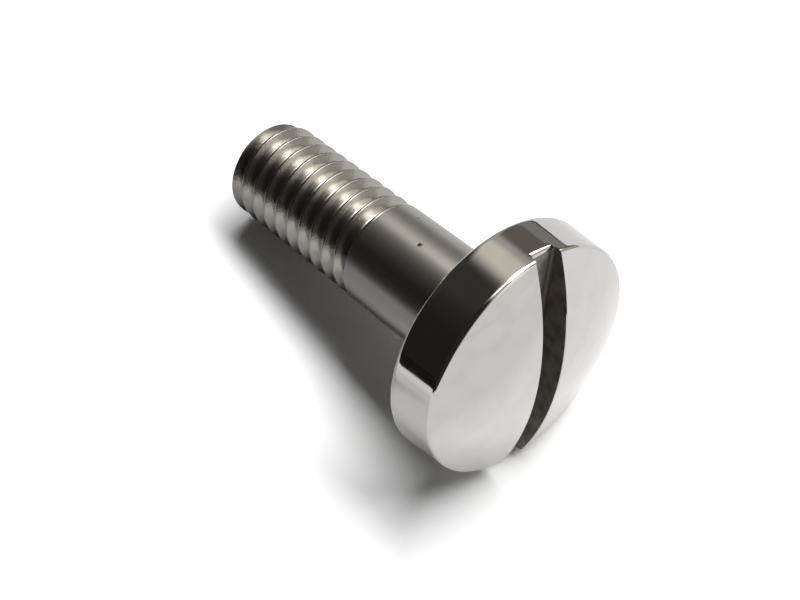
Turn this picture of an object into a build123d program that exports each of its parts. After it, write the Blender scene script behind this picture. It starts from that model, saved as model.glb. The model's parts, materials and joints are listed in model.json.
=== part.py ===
from build123d import *
import os
from math import atan2, degrees, radians, tan

# A slotted machine screw turned from one bar: a round head with a slightly tapered rim and a domed
# face, a plain shank and a right-hand metric thread with a chamfered end. Lengths are in millimetres
# and angles in degrees. It lies on its back rim and its first crest, as it comes to rest.

# Head, widest at its seat
head_diameter = 13.25
rim_height = 2.65
rim_taper = 4.0
dome_height = 1.47
face_edge_radius = 0.25
back_edge_radius = 0.3

# Driver slot, straight across the head
slot_width = 1.55
slot_below_rim = 0.39
slot_floor_radius = 0.2
slot_turn = -16.5

# Plain shank under the head
shank_diameter = 5.8
shank_length = 7.88
seat_fillet_radius = 0.15

# Thread
thread_diameter = 5.76
thread_length = 10.5
thread_pitch = 1.0
thread_depth = 0.61
crest_width = 0.125
root_width = 0.17
runout_length = 0.45
tip_chamfer_length = 0.65
tip_chamfer_depth = 0.66

# Where a crest crosses the upper side of the lying screw, as a share of the pitch from the tip, and
# where round its core the ridge starts
top_crest_share = 0.4
ridge_start_turn = 36.0

# How far cuts and joined bodies reach past the faces that they meet, and the ridge into its core
overrun = 0.3
ridge_sink = 0.05

# Rounds that settle the tilt of the lying screw
tilt_rounds = 5

# Sizes that follow from those above
head_radius = head_diameter / 2
face_radius = head_radius - rim_height * tan(radians(rim_taper))
shank_radius = shank_diameter / 2
crest_radius = thread_diameter / 2
root_radius = crest_radius - thread_depth
seat_height = thread_length + shank_length
rim_top = seat_height + rim_height
dome_top = rim_top + dome_height
dome_radius = (face_radius**2 + dome_height**2) / (2 * dome_height)


def turned_body():
    """The head, the shank and the cone where the thread runs out, revolved about the axis."""
    run_radius = root_radius - overrun
    outline = Polyline(
        (0, dome_top),
        (0, thread_length - runout_length),
        (run_radius, thread_length - runout_length),
        (shank_radius, thread_length),
        (shank_radius, seat_height),
        (head_radius, seat_height),
        (face_radius, rim_top),
    )
    dome = RadiusArc((0, dome_top), (face_radius, rim_top), dome_radius)
    profile = make_face(outline + dome)
    corners = profile.vertices()
    seat_corner = corners.sort_by_distance((shank_radius, seat_height))[0]
    profile = fillet(seat_corner, seat_fillet_radius)
    corners = profile.vertices()
    back_corner = corners.sort_by_distance((head_radius, seat_height))[0]
    profile = fillet(back_corner, back_edge_radius)
    corners = profile.vertices()
    face_corner = corners.sort_by_distance((face_radius, rim_top))[0]
    profile = fillet(face_corner, face_edge_radius)
    return revolve(Plane.XZ * profile, Axis.Z)


def slot_cutter():
    """The bar that the slot takes out of the head, with its floor's corners rounded."""
    floor = rim_top - slot_below_rim
    height = dome_top - floor + overrun
    section = Pos(0, floor + height / 2) * Rectangle(slot_width, height)
    section = fillet(section.vertices().group_by(Axis.Y)[0], slot_floor_radius)
    bar = extrude(Plane.XZ * section, amount=head_radius + overrun, both=True)
    return Rot(0, 0, slot_turn + 90) * bar


def thread_ridge(start):
    """The thread's one ridge from the start height up, its four sides ruled between helices."""
    height = thread_length - start
    flank_slope = (thread_pitch - crest_width - root_width) / (2 * thread_depth)
    crest_half = crest_width / 2
    foot_radius = root_radius - ridge_sink
    foot_half = crest_half + flank_slope * (crest_radius - foot_radius)
    corners = [
        (foot_radius, -foot_half),
        (crest_radius, -crest_half),
        (crest_radius, crest_half),
        (foot_radius, foot_half),
    ]
    edges = [Helix(thread_pitch, height, radius, center=(0, 0, along)) for radius, along in corners]
    next_edges = edges[1:] + edges[:1]
    sides = [Face.make_surface_from_curves(*pair) for pair in zip(edges, next_edges)]
    first_end = (Plane.XZ * make_face(Polyline(*corners, close=True))).face()
    last_end = Pos(0, 0, height) * Rot(0, 0, 360 * height / thread_pitch) * first_end
    ridge = Solid(Shell([*sides, first_end, last_end]))
    return Pos(0, 0, start) * Rot(0, 0, ridge_start_turn) * ridge


def threaded_rod():
    """A core with the ridge wound round it from below the tip, cut to the chamfered end and turned
    to bring a crest to its place on the upper side."""
    start = -thread_pitch
    crest_turn = -360 * top_crest_share - ridge_start_turn
    core_profile = Pos(root_radius / 2, (start + thread_length) / 2) * Rectangle(
        root_radius, thread_length - start
    )
    core = revolve(Plane.XZ * core_profile, Axis.Z)
    slope = tip_chamfer_length / tip_chamfer_depth
    limit_radius = crest_radius + overrun
    limit = Polyline(
        (0, 0),
        (crest_radius - tip_chamfer_depth, 0),
        (limit_radius, tip_chamfer_length + overrun * slope),
        (limit_radius, seat_height),
        (0, seat_height),
        close=True,
    )
    rod = (core + thread_ridge(start)) & revolve(Plane.XZ * make_face(limit), Axis.Z)
    return Rot(0, 0, crest_turn) * rod


def laid_down(upright, tilt):
    """Turns an upright piece to lie along +X, its axis rising by the tilt towards the head."""
    return Rot(0, 90 - tilt, 0) * Rot(0, 0, 180) * upright


def rest_tilt(body, rod):
    """The tilt at which the head's rim and the thread both reach the floor."""
    tilt = 0
    for _ in range(tilt_rounds):
        rim_low = laid_down(body, tilt).bounding_box().min.Z
        thread_low = laid_down(rod, tilt).bounding_box().min.Z
        tilt += degrees(atan2(thread_low - rim_low, seat_height))
    return tilt


def at_rest(body, rod):
    """Joins the two, lays the screw down and centres its box over the origin, on the floor."""
    laid = laid_down(body - slot_cutter() + rod, rest_tilt(body, rod))
    box = laid.bounding_box()
    middle = box.center()
    return Pos(-middle.X, -middle.Y, -box.min.Z) * laid


screw = at_rest(turned_body(), threaded_rod())

os.makedirs("parts", exist_ok=True)
export_step(screw, "parts/screw.step")
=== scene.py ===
"""A slotted oval head screw in polished steel, modelled over its frame and lit on a pale floor."""

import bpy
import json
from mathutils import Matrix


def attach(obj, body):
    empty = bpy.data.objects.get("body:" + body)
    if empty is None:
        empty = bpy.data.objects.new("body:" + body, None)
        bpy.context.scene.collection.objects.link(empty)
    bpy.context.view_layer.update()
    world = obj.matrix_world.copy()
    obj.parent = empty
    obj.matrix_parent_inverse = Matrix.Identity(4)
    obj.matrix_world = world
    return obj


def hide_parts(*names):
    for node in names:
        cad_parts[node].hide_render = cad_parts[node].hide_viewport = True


bl_info = {
    "name": "Slotted oval head screw",
    "version": (1, 0, 0),
    "blender": (4, 5, 0),
    "location": "View3D > Sidebar > Screw",
    "description": "Models a slotted oval head screw over its frame and lights it on a pale floor",
    "category": "Object",
}

import json
from math import acos, atan2, cos, pi, radians, sin, sqrt, tan
from types import SimpleNamespace

import bpy
from bpy.props import FloatProperty, FloatVectorProperty, IntProperty, PointerProperty
from mathutils import Matrix, Vector

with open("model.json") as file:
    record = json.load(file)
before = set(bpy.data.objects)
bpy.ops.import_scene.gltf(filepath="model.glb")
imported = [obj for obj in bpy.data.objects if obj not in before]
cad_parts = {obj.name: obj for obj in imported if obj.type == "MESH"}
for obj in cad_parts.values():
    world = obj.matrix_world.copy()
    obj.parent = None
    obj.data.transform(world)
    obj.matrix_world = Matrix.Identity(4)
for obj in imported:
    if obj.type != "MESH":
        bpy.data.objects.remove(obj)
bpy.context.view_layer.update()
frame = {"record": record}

MOUNTS = {mount["name"]: mount for mount in frame["record"]["mounts"]}
MILLIMETRE = 0.001

# The screw is modelled with one unit to the millimetre, where the mesh tools keep their precision.
MERGE_DISTANCE = 0.00002
SMOOTH_ANGLE = radians(28.0)

# How finely each stretch of the outlines is divided
DOME_STEPS = 90
FACE_EDGE_STEPS = 12
RIM_STEPS = 12
BACK_EDGE_STEPS = 8
SEAT_STEPS = 8
FILLET_STEPS = 6
SHANK_STEPS = 16
CONE_STEPS = 6
THREAD_ROUND_STEPS = 4
TIP_ROUND_STEPS = 6
SLOT_FLOOR_STEPS = 8
SLOT_EDGE_STEPS = 360
SLOT_END_STEPS = 6

# Turns of thread wound past each end, to be cut off again
SPARE_TURNS = 2

# Corners of the tool that breaks the slot's edges, in widths of that edge outwards and aside, and the
# reach of the tool that rounds the slot's ends, in radii of that round
EDGE_TOOL_SHARES = ((-3, -2), (2, 3), (3, -3))
END_TOOL_SHARE = 3

# Finishes of the turned body, the first one wherever its faces have no other
BODY_FINISHES = ("polished", "turned", "seat")

# From nothing to all over a stretch, and back
RISE = (0.0, 1.0)
FALL = (1.0, 0.0)

# Head: smudges and a thin film, in patches to the millimetre, where they start and are full in the
# noise, and how they change its roughness and dull it
SMUDGE_SCALE = 0.55
SMUDGE_SPAN = (0.35, 0.75)
SMUDGE_ROUGHNESS_SHARES = (0.8, 1.7)
FILM_SCALE = 0.9
FILM_SPAN = (0.4, 0.7)
FILM_SHARE = 0.95

# Shank and seat: the tool's marks to the millimetre, their depth in millimetres and their detail, and
# how far the shank's marks stretch its highlights
SHANK_MARKS = 26.0
SHANK_MARK_DEPTH = 0.0006
SEAT_MARKS = 14.0
SEAT_MARK_DEPTH = 0.002
MARK_DETAIL = 3.0
SHANK_STRETCH = 0.45

# Pits in the shank: millimetres from the thread, degrees round it, size in millimetres and strength;
# then how ragged and soft their edges are, in sizes, and how many marks deep they go
PITS = (
    (3.06, -1.7, 0.19, 1.0),
    (1.3, -31.0, 0.15, 0.45),
)
PIT_RAGGED_SHARE = 3.0
PIT_SOFT_SHARE = 1.3
PIT_SINK = 40.0

# Thread: millimetres below its crests, above its roots and behind its tip over which the steel changes,
# how much painted shade lies in the roots and how much darker the tip grows, and its grain in features
# to the millimetre and millimetres of depth
CREST_SPAN = (0.14, 0.04)
ROOT_SPAN = (0.05, 0.42)
ROOT_SHADE = 0.06
TIP_SPAN = (0.3, 1.0)
TIP_DARKENING = 0.7
THREAD_GRAIN = 6.0
THREAD_GRAIN_DEPTH = 0.006

# Slot: old oil in patches to the millimetre, from thin to thick over a span of the noise, and painted
# shade in its floor's corners, by millimetres in from the walls and up from the floor, and how dark it
# is
OIL_SCALE = 1.4
OIL_SPAN = (0.3, 0.8)
OIL_STAINS = (0.2, 0.7)
CORNER_SPAN = (0.6, 0.1)
CORNER_HEIGHT = 0.45
CORNER_SHADE = 0.8

# The picture's width in pixels, the camera's sensor in millimetres and its near and far ends in metres
IMAGE_WIDTH = 800
SENSOR_WIDTH = 36.0
CAMERA_NEAR = 0.001
CAMERA_FAR = 10.0

# The room that the steel mirrors: zones by azimuth, elevation, full and outer radius in degrees, colour.
ROOM_COLOUR = (0.52, 0.5, 0.46)
ROOM_ZONES = (
    (25, -14, 28, 36, (0.98, 0.975, 0.96)),
    (-60, 27, 48, 55, (0.05, 0.047, 0.043)),
    (24, 22, 9, 17, (1.5, 1.43, 1.3)),
    (86, 38, 13, 22, (4.5, 4.4, 4.2)),
    (90, 80, 8, 18, (3.0, 2.95, 2.85)),
    (148, 45, 8, 15, (0.86, 0.81, 0.71)),
    (112, 15, 20, 27, (0.17, 0.152, 0.132)),
    (116, -4, 16, 18, (0.27, 0.27, 0.265)),
    (-160, 26, 34, 46, (0.05, 0.047, 0.043)),
    (-80, 35, 46, 56, (0.03, 0.028, 0.026)),
    (-128, 8, 20, 40, (0.02, 0.019, 0.018)),
)

# Painted light and shade: soft bands of more or less light on the paper, as the steel mirrors it: the
# azimuth that each runs in, where it starts and is full along that, its middle and half widths across it
# in millimetres, its gain.
PAINTED_FLOOR_LIGHT = (
    (50, 3, 8, -7.9, 7, 16, 1.14),
    (180, -12, -6, 24, 11, 20, 0.8),
    (180, -3, 2, 14, 8, 16, 0.62),
)

# How soft the paper's edge is, as a share of its distance
PAPER_EDGE_SOFTNESS = 0.02


def length(name, description, millimetres):
    """A property for a length that a user may change."""
    return FloatProperty(
        name=name,
        description=description,
        default=millimetres * MILLIMETRE,
        min=0.0,
        precision=5,
        unit="LENGTH",
    )


def angle(name, description, degrees):
    """A property for an angle that a user may change."""
    return FloatProperty(
        name=name, description=description, default=radians(degrees), subtype="ANGLE"
    )


def share(name, description, value):
    """A property for a share between nought and one."""
    return FloatProperty(
        name=name, description=description, default=value, min=0.0, max=1.0, subtype="FACTOR"
    )


def colour(name, description, value):
    """A property for a surface colour."""
    return FloatVectorProperty(
        name=name, description=description, default=value, min=0.0, max=1.0, subtype="COLOR"
    )


class ScrewSizes(bpy.types.PropertyGroup):
    """Lengths of the screw, along and across its own axis."""

    head_diameter: length("Head diameter", "Across the head at its seat", 13.25)
    rim_height: length("Rim height", "Side of the head", 2.65)
    dome_height: length("Dome height", "Rise of the oval face above the rim", 1.47)
    face_edge: length("Face edge", "Round between the rim and the face", 0.25)
    back_edge: length("Back edge", "Round between the rim and the seat", 0.3)
    slot_width: length("Slot width", "Width of the driver slot", 1.55)
    slot_below_rim: length("Slot below rim", "How far the slot's floor lies below the rim", 0.39)
    slot_floor_round: length("Slot floor round", "Round in the slot's floor corners", 0.2)
    slot_edge: length("Slot edge", "Broken edge along the top of the slot", 0.035)
    slot_end_round: length("Slot end round", "Round where the slot's floor meets the rim", 0.24)
    shank_diameter: length(
        "Shank diameter", "Across the plain shank", 2 * MOUNTS["shank"]["dims"]["r_mm"]
    )
    shank_length: length("Shank length", "From the thread to the seat", 7.88)
    seat_fillet: length("Seat fillet", "Fillet between the shank and the seat", 0.15)
    thread_diameter: length(
        "Thread diameter", "Across the crests", 2 * MOUNTS["thread"]["dims"]["r_mm"]
    )
    thread_length: length(
        "Thread length", "From the tip to the shank", MOUNTS["thread"]["dims"]["length_mm"]
    )
    thread_pitch: length("Thread pitch", "From crest to crest", 1.0)
    thread_depth: length("Thread depth", "From crest to root", 0.61)
    crest_width: length("Crest width", "Flat along the crest", 0.125)
    root_width: length("Root width", "Flat along the root", 0.17)
    crest_round: length("Crest round", "Round on each edge of the crest", 0.035)
    root_round: length("Root round", "Round in each corner of the root", 0.12)
    runout: length("Run-out", "Length of the cone where the thread meets the shank", 0.45)
    runout_sink: length("Run-out sink", "How far the cone starts below the thread's root", 0.3)
    tip_chamfer_length: length("Tip chamfer length", "Chamfer of the tip along the axis", 0.65)
    tip_chamfer_depth: length("Tip chamfer depth", "Chamfer of the tip towards the axis", 0.66)
    tip_round: length("Tip round", "Round between the tip's end and its chamfer", 0.12)


class ScrewTurns(bpy.types.PropertyGroup):
    """How the slot and the thread are turned, and how finely the screw is divided."""

    rim_taper: angle("Rim taper", "How far the side of the head leans in towards its face", 4.0)
    slot_turn: angle("Slot turn", "Turn of the slot away from level", -16.5)
    top_crest: share("Top crest", "Where a crest crosses the top line, as a share of a pitch", 0.4)
    body_steps: IntProperty(
        name="Body steps", description="Divisions round the head and shank", default=256, min=64
    )
    thread_steps: IntProperty(
        name="Thread steps", description="Divisions in one turn of the thread", default=96, min=32
    )


class ScrewFinish(bpy.types.PropertyGroup):
    """Colours and roughness of the steel."""

    polished: colour("Polished steel", "Reflection of the polished head", (0.57, 0.558, 0.54))
    turned: colour("Turned steel", "Reflection of the shank", (0.33, 0.318, 0.297))
    threaded: colour("Threaded steel", "Reflection of the thread's crests", (0.36, 0.347, 0.325))
    oiled: colour("Oiled steel", "Reflection of the thread's flanks", (0.38, 0.364, 0.336))
    # Old oil in the slot and the pits, and also the painted shade in the roots and the slot's corners
    # and the darker tip.
    grime_and_shade: colour("Grime", "Old oil in the roots, the slot and the pits", (0.05, 0.043, 0.037))
    milled: colour("Milled steel", "Reflection inside the slot", (0.42, 0.39, 0.36))
    faced: colour("Faced steel", "Reflection of the seat under the head", (0.4, 0.388, 0.368))
    head_roughness: share("Head roughness", "Polish of the head", 0.055)
    shank_roughness: share("Shank roughness", "Satin of the turned shank", 0.34)
    thread_roughness: share("Thread roughness", "Satin of the thread", 0.22)
    slot_roughness: share("Slot roughness", "Dullness of the milled slot", 0.55)
    seat_roughness: share("Seat roughness", "Dullness of the faced seat", 0.28)


class StudioStage(bpy.types.PropertyGroup):
    """The floor, the lights and the camera."""

    floor_size: length("Floor size", "Side of the square floor", 8000.0)
    floor_colour: colour("Floor colour", "Pale paper under the screw", (0.9, 0.9, 0.9))
    floor_shown: FloatProperty(
        name="Floor shown", description="Paper as the camera sees it", default=1.5, min=0.0
    )
    floor_mirrored: FloatProperty(
        name="Floor mirrored", description="Paper as the steel mirrors it", default=1.1, min=0.0
    )
    paper_edge: length("Paper edge", "Where the steel mirrors the dark table past the paper", 37.5)
    paper_azimuth: angle("Paper edge azimuth", "Direction of that edge from the screw", -160.0)
    table_colour: colour("Table colour", "Dark table, only mirrored in the steel", (0.015, 0.014, 0.013))
    key_power: FloatProperty(
        name="Key power", description="Power of the soft key light", default=400.0, min=0.0
    )
    key_distance: length("Key distance", "From the screw to the key light", 6000.0)
    key_azimuth: angle("Key azimuth", "Direction of the key light, from +X towards +Y", 88.0)
    key_elevation: angle("Key elevation", "Height of the key light over the floor", 64.0)
    key_width: angle("Key width", "Width of the key light as seen from the screw", 60.0)
    key_height: angle("Key height", "Height of the key light as seen from the screw", 24.0)
    fill_strength: share("Fill strength", "Light that the pale room adds all round", 0.04)
    camera_azimuth: angle("Camera azimuth", "Nought looks along +Y", 48.221)
    camera_elevation: angle("Camera elevation", "Height of the camera over the floor", 58.103)
    camera_distance: length("Camera distance", "From the lens to the aim", 73.1)
    camera_aim: FloatVectorProperty(
        name="Camera aim",
        description="Point at the middle of the picture",
        default=(-0.000148, 0.000482, 0.00039),
        subtype="TRANSLATION",
        unit="LENGTH",
        precision=6,
    )
    focal_pixels: FloatProperty(
        name="Focal length", description="In pixels of the 800 pixel picture", default=1323.3
    )


def bench_sizes(scene):
    """The screw's lengths in millimetres, with those that follow from them."""
    sizes = scene.screw_sizes
    names = ScrewSizes.__annotations__
    s = SimpleNamespace(**{name: getattr(sizes, name) / MILLIMETRE for name in names})
    s.rim_taper = scene.screw_turns.rim_taper
    s.head_radius = s.head_diameter / 2
    s.face_radius = s.head_radius - s.rim_height * tan(s.rim_taper)
    s.shank_radius = s.shank_diameter / 2
    s.crest_radius = s.thread_diameter / 2
    s.root_radius = s.crest_radius - s.thread_depth
    s.seat = s.thread_length + s.shank_length
    s.rim_top = s.seat + s.rim_height
    s.dome_top = s.rim_top + s.dome_height
    s.dome_radius = (s.face_radius**2 + s.dome_height**2) / (2 * s.dome_height)
    s.dome_centre = s.dome_top - s.dome_radius
    s.slot_floor = s.rim_top - s.slot_below_rim
    return s


def arc(centre, radius, start, end, steps):
    """Points along an arc, angles in radians from the outward direction."""
    turns = [start + (end - start) * step / steps for step in range(steps + 1)]
    return [(centre[0] + radius * cos(turn), centre[1] + radius * sin(turn)) for turn in turns]


def rounded(corners, radii, steps):
    """An open outline whose inner corners are rounded to the radii."""
    points = [corners[0]]
    for before, corner, after, radius in zip(corners, corners[1:], corners[2:], radii):
        here = Vector(corner)
        back = (Vector(before) - here).normalized()
        ahead = (Vector(after) - here).normalized()
        half = acos(max(-1.0, min(1.0, back.dot(ahead)))) / 2
        middle = here + (back + ahead).normalized() * (radius / sin(half))
        first = here + back * (radius / tan(half)) - middle
        last = here + ahead * (radius / tan(half)) - middle
        start = atan2(first.y, first.x)
        sweep = (atan2(last.y, last.x) - start + pi) % (2 * pi) - pi
        points += arc(middle, radius, start, start + sweep, steps)
    return points + [corners[-1]]


def spread(start, end, steps):
    """Points between two ends, without the ends themselves."""
    shares = [step / steps for step in range(1, steps)]
    return [tuple(Vector(start).lerp(Vector(end), part)) for part in shares]


def body_outline(s):
    """Half section of the head, the shank and the run-out cone, from the dome's pole inwards."""
    outwards = Vector((cos(s.rim_taper), sin(s.rim_taper)))
    rim_foot = Vector((s.head_radius, s.seat - s.dome_centre))
    inset = rim_foot.dot(outwards) - s.face_edge
    rise = sqrt((s.dome_radius - s.face_edge) ** 2 - inset**2)
    edge_middle = inset * outwards + rise * Vector((-outwards.y, outwards.x))
    edge_turn = atan2(edge_middle.y, edge_middle.x)
    dome = arc((0, s.dome_centre), s.dome_radius, pi / 2, edge_turn, DOME_STEPS)
    face_middle = (edge_middle.x, edge_middle.y + s.dome_centre)
    face_edge = arc(face_middle, s.face_edge, edge_turn, s.rim_taper, FACE_EDGE_STEPS)
    back_inset = s.back_edge * (1 + outwards.y) / outwards.x
    back_middle = (s.head_radius - back_inset, s.seat + s.back_edge)
    back_edge = arc(back_middle, s.back_edge, s.rim_taper, -pi / 2, BACK_EDGE_STEPS)
    fillet_middle = (s.shank_radius + s.seat_fillet, s.seat - s.seat_fillet)
    fillet = arc(fillet_middle, s.seat_fillet, pi / 2, pi, FILLET_STEPS)
    cone_foot = (s.root_radius - s.runout_sink, s.thread_length - s.runout)
    shoulder = (s.shank_radius, s.thread_length)
    return [
        *dome,
        *face_edge[1:],
        *spread(face_edge[-1], back_edge[0], RIM_STEPS),
        *back_edge,
        *spread(back_edge[-1], fillet[0], SEAT_STEPS),
        *fillet,
        *spread(fillet[-1], shoulder, SHANK_STEPS),
        shoulder,
        *spread(shoulder, cone_foot, CONE_STEPS),
        cone_foot,
        (0.0, cone_foot[1]),
    ]


def thread_outline(s):
    """One pitch of the thread's section, from root to root, with its crest on the top line."""
    half_pitch = s.thread_pitch / 2
    crest = s.crest_width / 2
    root = half_pitch - s.root_width / 2
    corners = [
        (s.root_radius, -half_pitch),
        (s.root_radius, -root),
        (s.crest_radius, -crest),
        (s.crest_radius, crest),
        (s.root_radius, root),
        (s.root_radius, half_pitch),
    ]
    radii = [s.root_round, s.crest_round, s.crest_round, s.root_round]
    return rounded(corners, radii, THREAD_ROUND_STEPS)


def tip_outline(s):
    """Half section of the bar that the thread is cut from, with its chamfered end."""
    slope = s.tip_chamfer_length / s.tip_chamfer_depth
    overrun = s.thread_depth
    wide = s.crest_radius + overrun
    corners = [
        (0.0, 0.0),
        (s.crest_radius - s.tip_chamfer_depth, 0.0),
        (wide, s.tip_chamfer_length + overrun * slope),
    ]
    end = rounded(corners, [s.tip_round], TIP_ROUND_STEPS)
    return [*end, (wide, s.seat), (0.0, s.seat)]


def add_material(piece, material):
    """Gives a whole piece one finish."""
    piece.data.materials.clear()
    piece.data.materials.append(material)


def draw_chain(name, points, closed=False):
    """Draws an outline in the XZ plane by extruding one vertex, and stays in edit mode."""
    bpy.ops.object.select_all(action="DESELECT")
    bpy.ops.mesh.primitive_plane_add(size=1.0)
    piece = bpy.context.object
    piece.name = name
    bpy.ops.object.mode_set(mode="EDIT")
    bpy.ops.mesh.select_all(action="SELECT")
    bpy.ops.mesh.merge(type="CENTER")
    bpy.ops.transform.translate(value=(points[0][0], 0.0, points[0][1]))
    chain = [*points, points[0]] if closed else points
    for here, there in zip(chain, chain[1:]):
        step = (there[0] - here[0], 0.0, there[1] - here[1])
        bpy.ops.mesh.extrude_region_move(TRANSFORM_OT_translate={"value": step})
    bpy.ops.mesh.select_all(action="SELECT")
    return piece


def close_mesh():
    """Merges seams and poles, turns the faces outwards and leaves edit mode."""
    bpy.ops.mesh.select_all(action="SELECT")
    bpy.ops.mesh.remove_doubles(threshold=MERGE_DISTANCE)
    bpy.ops.mesh.normals_make_consistent(inside=False)
    bpy.ops.object.mode_set(mode="OBJECT")


def turn_chain(name, points, steps, closed=False):
    """Spins an outline once round the upright axis, as on a lathe."""
    piece = draw_chain(name, points, closed)
    bpy.ops.mesh.spin(steps=steps, angle=2 * pi, center=(0, 0, 0), axis=(0, 0, 1))
    close_mesh()
    return piece


def select_only(piece):
    """Makes a piece the active one, and the only one selected."""
    bpy.ops.object.select_all(action="DESELECT")
    bpy.context.view_layer.objects.active = piece
    piece.select_set(True)


def place(piece, matrix):
    """Moves a piece and puts its new place into its mesh."""
    select_only(piece)
    piece.matrix_world = matrix
    bpy.ops.object.transform_apply(location=True, rotation=True, scale=True)


def combine(piece, tool, operation):
    """Cuts a piece with a tool or joins the two, then removes the tool."""
    select_only(piece)
    bpy.ops.object.modifier_add(type="BOOLEAN")
    modifier = piece.modifiers[-1]
    modifier.operation = operation
    modifier.object = tool
    modifier.solver = "EXACT"
    modifier.material_mode = "TRANSFER"
    bpy.ops.object.modifier_apply(modifier=modifier.name)
    bpy.data.objects.remove(tool, do_unlink=True)


def slot_cutter(s, turn, finish):
    """A bar as wide as the slot, with its lower edges rounded."""
    reach = s.head_radius + s.rim_height
    height = s.dome_top - s.slot_floor + s.rim_height
    bpy.ops.object.select_all(action="DESELECT")
    bpy.ops.mesh.primitive_cube_add(size=1.0)
    bar = bpy.context.object
    size = Matrix.Diagonal((s.slot_width, 2 * reach, height, 1.0))
    place(bar, Matrix.Translation((0, 0, s.slot_floor + height / 2)) @ size)
    for edge in bar.data.edges:
        ends = [bar.data.vertices[index].co for index in edge.vertices]
        low = all(abs(end.z - s.slot_floor) < MERGE_DISTANCE for end in ends)
        edge.select = low and abs(ends[0].y - ends[1].y) > reach
    bpy.ops.object.mode_set(mode="EDIT")
    bpy.ops.mesh.select_mode(type="EDGE")
    bpy.ops.mesh.bevel(offset=s.slot_floor_round, segments=SLOT_FLOOR_STEPS, affect="EDGES")
    bpy.ops.mesh.select_mode(type="VERT")
    bpy.ops.object.mode_set(mode="OBJECT")
    add_material(bar, finish)
    place(bar, Matrix.Rotation(turn, 4, "Z"))
    return bar


def edge_cutter(s, side, turn, finish):
    """A thin ring that breaks one top edge of the slot, centred on the dome's own centre."""
    wall = s.slot_width / 2
    edge = s.slot_edge
    depth = sqrt(s.dome_radius**2 - wall**2)
    points = [(depth + out * edge, side * (wall + aside * edge)) for out, aside in EDGE_TOOL_SHARES]
    ring = turn_chain("slot_edge", points, SLOT_EDGE_STEPS, closed=True)
    add_material(ring, finish)
    upright = Matrix.Rotation(pi / 2, 4, "Y")
    place(ring, Matrix.Rotation(turn, 4, "Z") @ Matrix.Translation((0, 0, s.dome_centre)) @ upright)
    return ring


def end_cutter(s, turns, across, finish):
    """A ring as wide as the slot that rounds both ends of the slot's floor, where it meets the rim."""
    slope = tan(s.rim_taper)
    reach = s.head_radius - (s.slot_floor - s.seat) * slope
    below = END_TOOL_SHARE * s.slot_end_round
    corners = [
        (reach + below * slope, s.slot_floor - below),
        (reach, s.slot_floor),
        (reach - below, s.slot_floor),
    ]
    edge = rounded(corners, [s.slot_end_round], SLOT_END_STEPS)[1:-1]
    wide = s.head_radius + s.rim_height
    high = s.dome_top
    points = [*edge, (edge[-1][0], high - below), (wide, high - below), (wide, edge[0][1])]
    ring = turn_chain("slot_end", points, turns.body_steps, closed=True)
    add_material(ring, finish)
    bpy.ops.object.select_all(action="DESELECT")
    bpy.ops.mesh.primitive_cube_add(size=1.0)
    bar = bpy.context.object
    add_material(bar, finish)
    size = Matrix.Diagonal((s.slot_width - s.slot_floor_round, 2 * wide + below, 2 * high, 1.0))
    place(bar, Matrix.Rotation(across, 4, "Z") @ size)
    combine(ring, bar, "INTERSECT")
    return ring


def turned_body(s, turns, finishes):
    """The head and shank in one turning, with the slot milled across the face."""
    body = turn_chain("slotted_screw", body_outline(s), turns.body_steps)
    for name in BODY_FINISHES:
        body.data.materials.append(finishes[name])
    for face in body.data.polygons:
        if face.center.z < s.seat - MERGE_DISTANCE:
            face.material_index = BODY_FINISHES.index("turned")
        elif face.center.z < s.seat + MERGE_DISTANCE:
            face.material_index = BODY_FINISHES.index("seat")
    across = turns.slot_turn + pi / 2
    combine(body, slot_cutter(s, across, finishes["milled"]), "DIFFERENCE")
    combine(body, end_cutter(s, turns, across, finishes["polished"]), "DIFFERENCE")
    for side in (-1, 1):
        combine(body, edge_cutter(s, side, across, finishes["polished"]), "DIFFERENCE")
    return body


def wound_thread(s, turns, finishes):
    """The thread wound from its section, cut square at both ends and chamfered at the tip."""
    outline = thread_outline(s)
    start = (turns.top_crest - SPARE_TURNS) * s.thread_pitch
    thread = draw_chain("thread", [(radius, along + start) for radius, along in outline])
    bpy.ops.object.mode_set(mode="OBJECT")
    bpy.ops.object.modifier_add(type="SCREW")
    winding = thread.modifiers[-1]
    winding.axis = "Z"
    winding.angle = 2 * pi
    winding.screw_offset = s.thread_pitch
    winding.iterations = round(s.thread_length / s.thread_pitch) + 2 * SPARE_TURNS
    winding.steps = turns.thread_steps
    winding.render_steps = turns.thread_steps
    bpy.ops.object.modifier_apply(modifier=winding.name)
    bpy.ops.object.mode_set(mode="EDIT")
    bpy.ops.mesh.select_all(action="SELECT")
    bpy.ops.mesh.remove_doubles(threshold=MERGE_DISTANCE)
    for height, outwards in ((-s.thread_pitch / 2, -1), (s.thread_length + s.runout / 2, 1)):
        bpy.ops.mesh.select_all(action="SELECT")
        bpy.ops.mesh.bisect(
            plane_co=(0, 0, height),
            plane_no=(0, 0, outwards),
            use_fill=True,
            clear_outer=True,
            threshold=MERGE_DISTANCE,
        )
    close_mesh()
    add_material(thread, finishes["threaded"])
    blank = turn_chain("tip", tip_outline(s), turns.body_steps)
    add_material(blank, finishes["threaded"])
    combine(thread, blank, "INTERSECT")
    return thread


def rest_matrix(s):
    """From the screw standing on its tip, in millimetres, to where the frame has it lying."""
    mount = MOUNTS["thread"]
    axis = -Vector(mount["axis"]).normalized()
    side = axis.cross(Vector((0, 0, 1))).normalized()
    up = side.cross(axis)
    tip = Vector(mount["pos_m"]) - axis * (s.thread_length * MILLIMETRE / 2)
    turned = Matrix((up, side, axis)).transposed().to_4x4()
    return Matrix.Translation(tip) @ turned


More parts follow.
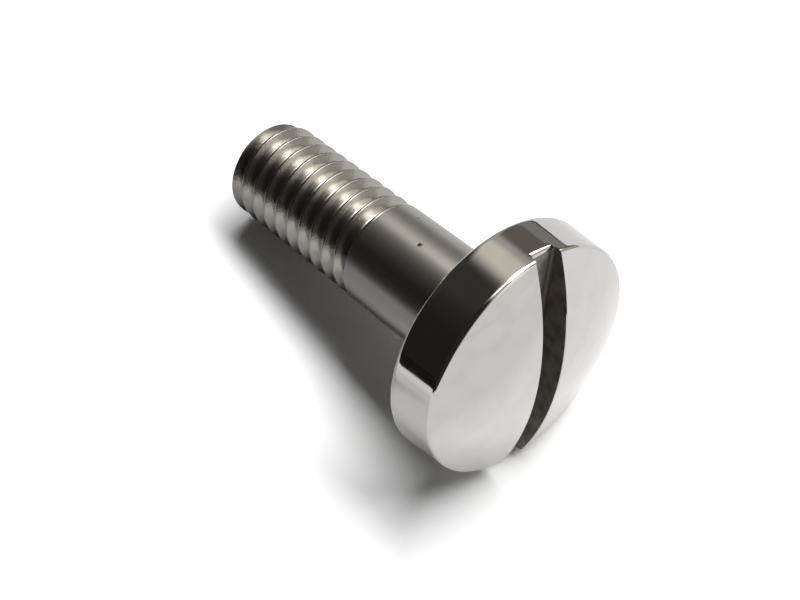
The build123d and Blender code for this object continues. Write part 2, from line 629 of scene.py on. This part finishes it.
def new_material(name, base, roughness):
    """A steel with its nodes ready: the material, its node tree and its shader."""
    material = bpy.data.materials.new(name)
    material.use_nodes = True
    tree = material.node_tree
    shader = tree.nodes["Principled BSDF"]
    shader.inputs["Base Color"].default_value = (*base, 1.0)
    shader.inputs["Metallic"].default_value = 1.0
    shader.inputs["Roughness"].default_value = roughness
    return material, tree, shader


def node(tree, kind, **settings):
    """Adds a node and sets its own settings."""
    made = tree.nodes.new(kind)
    for name, value in settings.items():
        setattr(made, name, value)
    return made


def axis_coordinates(tree, matrix):
    """Object coordinates seen from the screw: millimetres, Z along its axis from the tip."""
    place_of, turn, _ = matrix.decompose()
    source = node(tree, "ShaderNodeTexCoord")
    mapping = node(tree, "ShaderNodeMapping", vector_type="TEXTURE")
    mapping.inputs["Location"].default_value = place_of
    mapping.inputs["Rotation"].default_value = turn.to_euler()
    mapping.inputs["Scale"].default_value = (MILLIMETRE,) * 3
    tree.links.new(source.outputs["Object"], mapping.inputs["Vector"])
    return mapping.outputs["Vector"]


def noise(tree, vector, scale, detail):
    """Plain noise over the surface, from nought to one."""
    made = node(tree, "ShaderNodeTexNoise")
    made.inputs["Scale"].default_value = scale
    made.inputs["Detail"].default_value = detail
    tree.links.new(vector, made.inputs["Vector"])
    return made.outputs["Fac"]


def tool_marks(tree, measure, per_millimetre):
    """Marks that follow each other along one measure, as a turning tool leaves them."""
    made = node(tree, "ShaderNodeTexNoise", noise_dimensions="1D")
    made.inputs["Scale"].default_value = per_millimetre
    made.inputs["Detail"].default_value = MARK_DETAIL
    tree.links.new(measure, made.inputs["W"])
    return made.outputs["Fac"]


def axis_height(tree, vector):
    """How far a point lies from the tip along the screw's axis, in millimetres."""
    parts = node(tree, "ShaderNodeSeparateXYZ")
    tree.links.new(vector, parts.inputs["Vector"])
    return parts.outputs["Z"]


def axis_distance(tree, vector):
    """How far a point lies from the screw's axis, in millimetres."""
    flat = node(tree, "ShaderNodeVectorMath", operation="MULTIPLY")
    tree.links.new(vector, flat.inputs[0])
    flat.inputs[1].default_value = (1.0, 1.0, 0.0)
    radius = node(tree, "ShaderNodeVectorMath", operation="LENGTH")
    tree.links.new(flat.outputs["Vector"], radius.inputs[0])
    return radius.outputs["Value"]


def direction(azimuth, elevation):
    """Unit vector, azimuth from +X towards +Y."""
    flat = cos(elevation)
    return Vector((flat * cos(azimuth), flat * sin(azimuth), sin(elevation)))


def distance_along(tree, vector, towards):
    """How far a point lies in one direction."""
    made = node(tree, "ShaderNodeVectorMath", operation="DOT_PRODUCT")
    tree.links.new(vector, made.inputs[0])
    made.inputs[1].default_value = towards
    return made.outputs["Value"]


def ranged(tree, value, span, result):
    """Maps a value smoothly from a span to a result and holds it past both ends."""
    made = node(tree, "ShaderNodeMapRange", interpolation_type="SMOOTHSTEP")
    made.inputs["From Min"].default_value, made.inputs["From Max"].default_value = span
    made.inputs["To Min"].default_value, made.inputs["To Max"].default_value = result
    tree.links.new(value, made.inputs["Value"])
    return made.outputs["Result"]


def arithmetic(tree, operation, *values):
    """One sum on values, which are sockets or plain numbers."""
    made = node(tree, "ShaderNodeMath", operation=operation)
    for socket, value in zip(made.inputs, values):
        if isinstance(value, bpy.types.NodeSocket):
            tree.links.new(value, socket)
        else:
            socket.default_value = value
    return made.outputs["Value"]


def blended(tree, amount, first, second):
    """A colour between two others, which are sockets or plain colours, by an amount."""
    made = node(tree, "ShaderNodeMix", data_type="RGBA")
    tree.links.new(amount, made.inputs["Factor"])
    for name, part in (("A", first), ("B", second)):
        if isinstance(part, bpy.types.NodeSocket):
            tree.links.new(part, made.inputs[name])
        else:
            made.inputs[name].default_value = (*part, 1.0)
    return made.outputs["Result"]


def bump(tree, height, shader, depth):
    """Raises the surface by a height from the surface's own marks."""
    made = node(tree, "ShaderNodeBump")
    made.inputs["Strength"].default_value = 1.0
    made.inputs["Distance"].default_value = depth * MILLIMETRE
    tree.links.new(height, made.inputs["Height"])
    tree.links.new(made.outputs["Normal"], shader.inputs["Normal"])


def polished_steel(finish, matrix):
    """Mirror polish with faint smudges where it was handled."""
    material, tree, shader = new_material(
        "polished_head", finish.polished, finish.head_roughness
    )
    vector = axis_coordinates(tree, matrix)
    smudge = noise(tree, vector, SMUDGE_SCALE, detail=4.0)
    roughness = [finish.head_roughness * part for part in SMUDGE_ROUGHNESS_SHARES]
    tree.links.new(ranged(tree, smudge, SMUDGE_SPAN, roughness), shader.inputs["Roughness"])
    dulled = [channel * FILM_SHARE for channel in finish.polished]
    film = ranged(tree, noise(tree, vector, FILM_SCALE, detail=5.0), FILM_SPAN, RISE)
    tint = blended(tree, film, finish.polished, dulled)
    tree.links.new(tint, shader.inputs["Base Color"])
    return material


def pit(tree, vector, s, height, turn, size):
    """A small pit in the shank, by its place along the axis and round it: one inside, nought outside."""
    ragged = noise(tree, vector, PIT_RAGGED_SHARE / size, detail=3.0)
    away = node(tree, "ShaderNodeVectorMath", operation="DISTANCE")
    tree.links.new(vector, away.inputs[0])
    away.inputs[1].default_value = (s.shank_radius * cos(turn), s.shank_radius * sin(turn), height)
    edge = arithmetic(tree, "MULTIPLY_ADD", ragged, size, away.outputs["Value"])
    return ranged(tree, edge, (size, PIT_SOFT_SHARE * size), FALL)


def turned_steel(finish, matrix, s):
    """Satin shank with fine marks round it and small pits."""
    material, tree, shader = new_material("turned_shank", finish.turned, finish.shank_roughness)
    vector = axis_coordinates(tree, matrix)
    shader.inputs["Anisotropic"].default_value = SHANK_STRETCH
    axis = node(tree, "ShaderNodeCombineXYZ")
    for socket, part in zip(axis.inputs, matrix.col[2]):
        socket.default_value = part
    tree.links.new(axis.outputs["Vector"], shader.inputs["Tangent"])
    pits = 0.0
    for past_thread, turn, size, strength in PITS:
        dark = pit(tree, vector, s, s.thread_length + past_thread, radians(turn), size)
        pits = arithmetic(tree, "MULTIPLY_ADD", dark, strength, pits)
    tint = blended(tree, pits, finish.turned, finish.grime_and_shade)
    tree.links.new(tint, shader.inputs["Base Color"])
    marks = tool_marks(tree, axis_height(tree, vector), SHANK_MARKS)
    height = arithmetic(tree, "MULTIPLY_ADD", pits, -PIT_SINK, marks)
    bump(tree, height, shader, SHANK_MARK_DEPTH)
    return material


def seat_steel(finish, matrix):
    """Dull underside of the head, with the rings that facing it left."""
    material, tree, shader = new_material("faced_seat", finish.faced, finish.seat_roughness)
    vector = axis_coordinates(tree, matrix)
    marks = tool_marks(tree, axis_distance(tree, vector), SEAT_MARKS)
    bump(tree, marks, shader, SEAT_MARK_DEPTH)
    return material


def threaded_steel(finish, matrix, s):
    """Satin thread with oiled flanks, painted shade in its roots, and darker steel round its tip."""
    material, tree, shader = new_material("cut_thread", finish.threaded, finish.thread_roughness)
    vector = axis_coordinates(tree, matrix)
    radius = axis_distance(tree, vector)
    flank = ranged(tree, radius, [s.crest_radius - depth for depth in CREST_SPAN], FALL)
    # Painted shade: the flanks darken towards the thread's roots.
    root = ranged(tree, radius, [s.root_radius + rise for rise in ROOT_SPAN], (ROOT_SHADE, 0.0))
    # The steel darkens towards the tip.
    tip = ranged(tree, axis_height(tree, vector), TIP_SPAN, (TIP_DARKENING, 0.0))
    tint = blended(tree, flank, finish.threaded, finish.oiled)
    for darkening in (root, tip):
        tint = blended(tree, darkening, tint, finish.grime_and_shade)
    tree.links.new(tint, shader.inputs["Base Color"])
    grain = noise(tree, vector, THREAD_GRAIN, detail=4.0)
    bump(tree, grain, shader, THREAD_GRAIN_DEPTH)
    return material


def milled_steel(finish, matrix, s, across):
    """Dull milled slot, darkened by old oil in patches, and by painted shade along its floor's corners.
    """
    material, tree, shader = new_material("milled_slot", finish.milled, finish.slot_roughness)
    vector = axis_coordinates(tree, matrix)
    oil = ranged(tree, noise(tree, vector, OIL_SCALE, detail=5.0), OIL_SPAN, OIL_STAINS)
    aside = arithmetic(tree, "ABSOLUTE", distance_along(tree, vector, direction(across, 0.0)))
    # Painted shade: the floor's corners along both walls are darkened.
    by_wall = ranged(
        tree, aside, [s.slot_width / 2 - inset for inset in CORNER_SPAN], (0.0, CORNER_SHADE)
    )
    low_span = (s.slot_floor, s.slot_floor + CORNER_HEIGHT)
    low = ranged(tree, axis_height(tree, vector), low_span, FALL)
    darkening = arithmetic(tree, "MAXIMUM", oil, arithmetic(tree, "MULTIPLY", by_wall, low))
    tree.links.new(blended(tree, darkening, finish.milled, finish.grime_and_shade), shader.inputs["Base Color"])
    return material


class SCREW_OT_turn_screw(bpy.types.Operator):
    """Model the screw in one piece over its frame"""

    bl_idname = "screw.turn_screw"
    bl_label = "Turn the screw"
    bl_options = {"REGISTER", "UNDO"}

    def execute(self, context):
        scene = context.scene
        turns = scene.screw_turns
        finish = scene.screw_finish
        s = bench_sizes(scene)
        matrix = rest_matrix(s)
        finishes = {
            "polished": polished_steel(finish, matrix),
            "turned": turned_steel(finish, matrix, s),
            "seat": seat_steel(finish, matrix),
            "threaded": threaded_steel(finish, matrix, s),
            "milled": milled_steel(finish, matrix, s, turns.slot_turn + pi / 2),
        }
        screw = turned_body(s, turns, finishes)
        combine(screw, wound_thread(s, turns, finishes), "UNION")
        bpy.ops.object.mode_set(mode="EDIT")
        close_mesh()
        place(screw, matrix @ Matrix.Scale(MILLIMETRE, 4))
        bpy.ops.object.shade_smooth_by_angle(angle=SMOOTH_ANGLE)
        if not screw.data.polygons:
            raise RuntimeError("the screw has no faces")
        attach(screw, "root")
        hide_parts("screw")
        return {"FINISHED"}


def mirrored_rays(tree, path):
    """One for rays that left metal or glass, nought for others."""
    return arithmetic(
        tree, "MAXIMUM", path.outputs["Is Glossy Ray"], path.outputs["Is Transmission Ray"]
    )


def mirrored_level(tree, vector, level):
    """How bright the steel mirrors the paper, with the painted bands of light and shade that lie on it.
    """
    # Each band is painted light or painted shade, seen only in the steel's reflection.
    for azimuth, start, full, middle, inner, outer, gain in PAINTED_FLOOR_LIGHT:
        run = distance_along(tree, vector, direction(radians(azimuth), 0.0))
        across = distance_along(tree, vector, direction(radians(azimuth + 90), 0.0))
        apart = arithmetic(
            tree, "ABSOLUTE", arithmetic(tree, "SUBTRACT", across, middle * MILLIMETRE)
        )
        inside = arithmetic(
            tree,
            "MULTIPLY",
            ranged(tree, run, (start * MILLIMETRE, full * MILLIMETRE), RISE),
            ranged(tree, apart, (inner * MILLIMETRE, outer * MILLIMETRE), FALL),
        )
        factor = arithmetic(tree, "MULTIPLY_ADD", inside, gain - 1, 1.0)
        level = arithmetic(tree, "MULTIPLY", factor, level)
    return level


def make_floor(stage):
    """A wide pale floor: paper with an edge and painted bands of light and shade that only the steel
    mirrors.
    """
    bpy.ops.object.select_all(action="DESELECT")
    bpy.ops.mesh.primitive_plane_add(size=stage.floor_size)
    floor = bpy.context.object
    floor.name = "floor"
    material = bpy.data.materials.new("pale_paper")
    material.use_nodes = True
    tree = material.node_tree
    tree.nodes.clear()
    path = node(tree, "ShaderNodeLightPath")
    vector = node(tree, "ShaderNodeTexCoord").outputs["Object"]
    beyond = distance_along(tree, vector, direction(stage.paper_azimuth, 0.0))
    edge_shares = (1 - PAPER_EDGE_SOFTNESS, 1 + PAPER_EDGE_SOFTNESS)
    edge = ranged(tree, beyond, [stage.paper_edge * part for part in edge_shares], RISE)
    # Painted light and shade on the paper, which only the steel mirrors.
    level = mirrored_level(tree, vector, stage.floor_mirrored)
    paper = blended(tree, edge, level, stage.table_colour)
    met = blended(tree, mirrored_rays(tree, path), stage.floor_colour, paper)
    shown = blended(tree, path.outputs["Is Camera Ray"], met, (stage.floor_shown,) * 3)
    surface = node(tree, "ShaderNodeBsdfDiffuse")
    tree.links.new(shown, surface.inputs["Color"])
    output = node(tree, "ShaderNodeOutputMaterial")
    tree.links.new(surface.outputs["BSDF"], output.inputs["Surface"])
    add_material(floor, material)


def make_key(stage):
    """One large soft light, long across the screw's far side."""
    towards = direction(stage.key_azimuth, stage.key_elevation)
    bpy.ops.object.light_add(type="AREA", location=towards * stage.key_distance)
    key = bpy.context.object
    key.name = "key_light"
    key.rotation_euler = towards.to_track_quat("Z", "Y").to_euler()
    key.visible_camera = False
    key.data.shape = "ELLIPSE"
    key.data.size = 2 * stage.key_distance * tan(stage.key_width / 2)
    key.data.size_y = 2 * stage.key_distance * tan(stage.key_height / 2)
    key.data.energy = stage.key_power


def room_colour(tree, vector):
    """The room's colour with its zones, each full inside one angle and gone at another."""
    shade = ROOM_COLOUR
    for azimuth, elevation, inner, outer, zone_colour in ROOM_ZONES:
        facing = distance_along(tree, vector, direction(radians(azimuth), radians(elevation)))
        amount = ranged(tree, facing, (cos(radians(outer)), cos(radians(inner))), RISE)
        shade = blended(tree, amount, shade, zone_colour)
    return shade


def make_room(scene, stage):
    """A pale room that the steel mirrors, with a dark side, and a low fill on the floor."""
    world = bpy.data.worlds.new("pale_room")
    scene.world = world
    world.use_nodes = True
    tree = world.node_tree
    tree.nodes.clear()
    vector = node(tree, "ShaderNodeTexCoord").outputs["Generated"]
    room = node(tree, "ShaderNodeBackground")
    tree.links.new(room_colour(tree, vector), room.inputs["Color"])
    fill = node(tree, "ShaderNodeBackground")
    fill.inputs["Strength"].default_value = stage.fill_strength
    pale = node(tree, "ShaderNodeBackground")
    pale.inputs["Color"].default_value = (1.0, 1.0, 1.0, 1.0)
    path = node(tree, "ShaderNodeLightPath")
    lit = node(tree, "ShaderNodeMixShader")
    tree.links.new(mirrored_rays(tree, path), lit.inputs["Fac"])
    tree.links.new(fill.outputs["Background"], lit.inputs[1])
    tree.links.new(room.outputs["Background"], lit.inputs[2])
    shown = node(tree, "ShaderNodeMixShader")
    tree.links.new(path.outputs["Is Camera Ray"], shown.inputs["Fac"])
    tree.links.new(lit.outputs["Shader"], shown.inputs[1])
    tree.links.new(pale.outputs["Background"], shown.inputs[2])
    output = node(tree, "ShaderNodeOutputWorld")
    tree.links.new(shown.outputs["Shader"], output.inputs["Surface"])


def make_camera(scene, stage):
    """The camera at the picture's own angle, level and without shift."""
    data = bpy.data.cameras.new("camera")
    camera = bpy.data.objects.new("camera", data)
    scene.collection.objects.link(camera)
    data.sensor_fit = "HORIZONTAL"
    data.sensor_width = SENSOR_WIDTH
    data.lens = stage.focal_pixels / IMAGE_WIDTH * SENSOR_WIDTH
    data.clip_start = CAMERA_NEAR
    data.clip_end = CAMERA_FAR
    back = direction(stage.camera_azimuth - pi / 2, stage.camera_elevation)
    camera.location = Vector(stage.camera_aim) + back * stage.camera_distance
    camera.rotation_euler = (-back).to_track_quat("-Z", "Y").to_euler()
    scene.camera = camera


class SCREW_OT_set_stage(bpy.types.Operator):
    """Lay the floor, set the lights and place the camera"""

    bl_idname = "screw.set_stage"
    bl_label = "Set the stage"
    bl_options = {"REGISTER", "UNDO"}

    def execute(self, context):
        scene = context.scene
        stage = scene.screw_stage
        make_floor(stage)
        make_key(stage)
        make_room(scene, stage)
        make_camera(scene, stage)
        scene.view_settings.view_transform = "Standard"
        return {"FINISHED"}


class VIEW3D_PT_screw(bpy.types.Panel):
    """Lists the screw's sizes and its operators"""

    bl_label = "Slotted screw"
    bl_space_type = "VIEW_3D"
    bl_region_type = "UI"
    bl_category = "Screw"

    def draw(self, context):
        scene = context.scene
        for group in (scene.screw_sizes, scene.screw_turns, scene.screw_finish, scene.screw_stage):
            column = self.layout.box().column()
            for name in type(group).__annotations__:
                column.prop(group, name)
        self.layout.operator(SCREW_OT_turn_screw.bl_idname)
        self.layout.operator(SCREW_OT_set_stage.bl_idname)


GROUPS = {
    "screw_sizes": ScrewSizes,
    "screw_turns": ScrewTurns,
    "screw_finish": ScrewFinish,
    "screw_stage": StudioStage,
}
CLASSES = (*GROUPS.values(), SCREW_OT_turn_screw, SCREW_OT_set_stage, VIEW3D_PT_screw)


def register():
    for cls in CLASSES:
        bpy.utils.register_class(cls)
    for name, group in GROUPS.items():
        setattr(bpy.types.Scene, name, PointerProperty(type=group))


def unregister():
    for name in GROUPS:
        delattr(bpy.types.Scene, name)
    for cls in reversed(CLASSES):
        bpy.utils.unregister_class(cls)


def main():
    register()
    bpy.ops.screw.turn_screw()
    bpy.ops.screw.set_stage()


if __name__ == "__main__":
    main()
